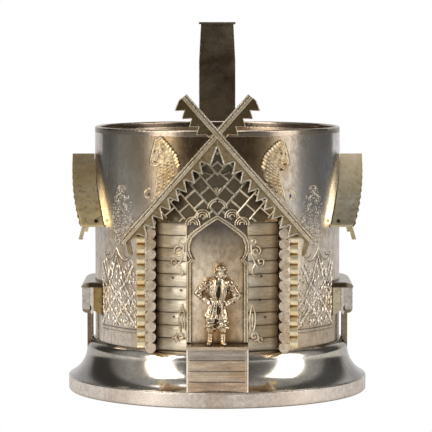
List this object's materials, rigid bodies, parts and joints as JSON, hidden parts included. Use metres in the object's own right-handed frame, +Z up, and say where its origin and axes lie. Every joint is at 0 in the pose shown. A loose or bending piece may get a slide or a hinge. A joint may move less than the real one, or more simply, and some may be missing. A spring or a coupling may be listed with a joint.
{
  "type": "tea glass holder",
  "caption": "Metal tea glass holder: straight cup on a flared foot, strap handle at the back, and a log house front with crossed gable boards, doorway, step and figure.",
  "frame": {"origin": "middle of the base ring's underside, on the cup's axis", "axes": "+Z up along the cup's axis, the doorway faces -Y, the handle is at +Y, +X is to the right as seen from the front"},
  "size_m": [0.0902, 0.1041, 0.1109],
  "materials": {
    "body_silver": "satin, lightly tarnished silver",
    "bright_silver": "polished silver",
    "gilt": "satin, pale worn gilding",
    "dark_silver": "satin, dark tarnish"
  },
  "bodies": {
    "root": {"cup_wall": "body_silver", "rim_band": "body_silver", "cup_floor": "body_silver", "foot_skirt": "bright_silver", "foot_band": "body_silver", "handle_strap": "dark_silver", "handle_upper_arm": "dark_silver", "thumb_plate": "dark_silver", "handle_pads": "body_silver", "log_wall_left": "gilt", "log_wall_right": "gilt", "gable_panel": "gilt", "door_frame": "body_silver", "corner_logs_left": "body_silver", "corner_logs_right": "body_silver", "corner_stubs_left": "gilt", "corner_stubs_right": "gilt", "roof_slab_left": "gilt", "roof_slab_right": "gilt", "gable_horn": "gilt", "gable_trim_left": "gilt", "gable_trim_right": "gilt", "horn_trim_left": "gilt", "horn_trim_right": "gilt", "step_tread": "body_silver", "step_riser": "body_silver", "step_cheek_left": "body_silver", "step_cheek_right": "body_silver", "peasant_figure": "bright_silver", "side_roof_front_left": "gilt", "side_roof_back_left": "gilt", "side_roof_front_right": "gilt", "side_roof_back_right": "gilt", "side_trim_left": "gilt", "side_trim_right": "gilt", "window_cap_left": "body_silver", "window_cap_right": "body_silver", "window_casing_left": "body_silver", "window_casing_right": "body_silver", "window_cheeks_left": "gilt", "window_cheeks_right": "gilt", "window_posts_left": "body_silver", "window_posts_right": "body_silver"}
  },
  "joints": []
}
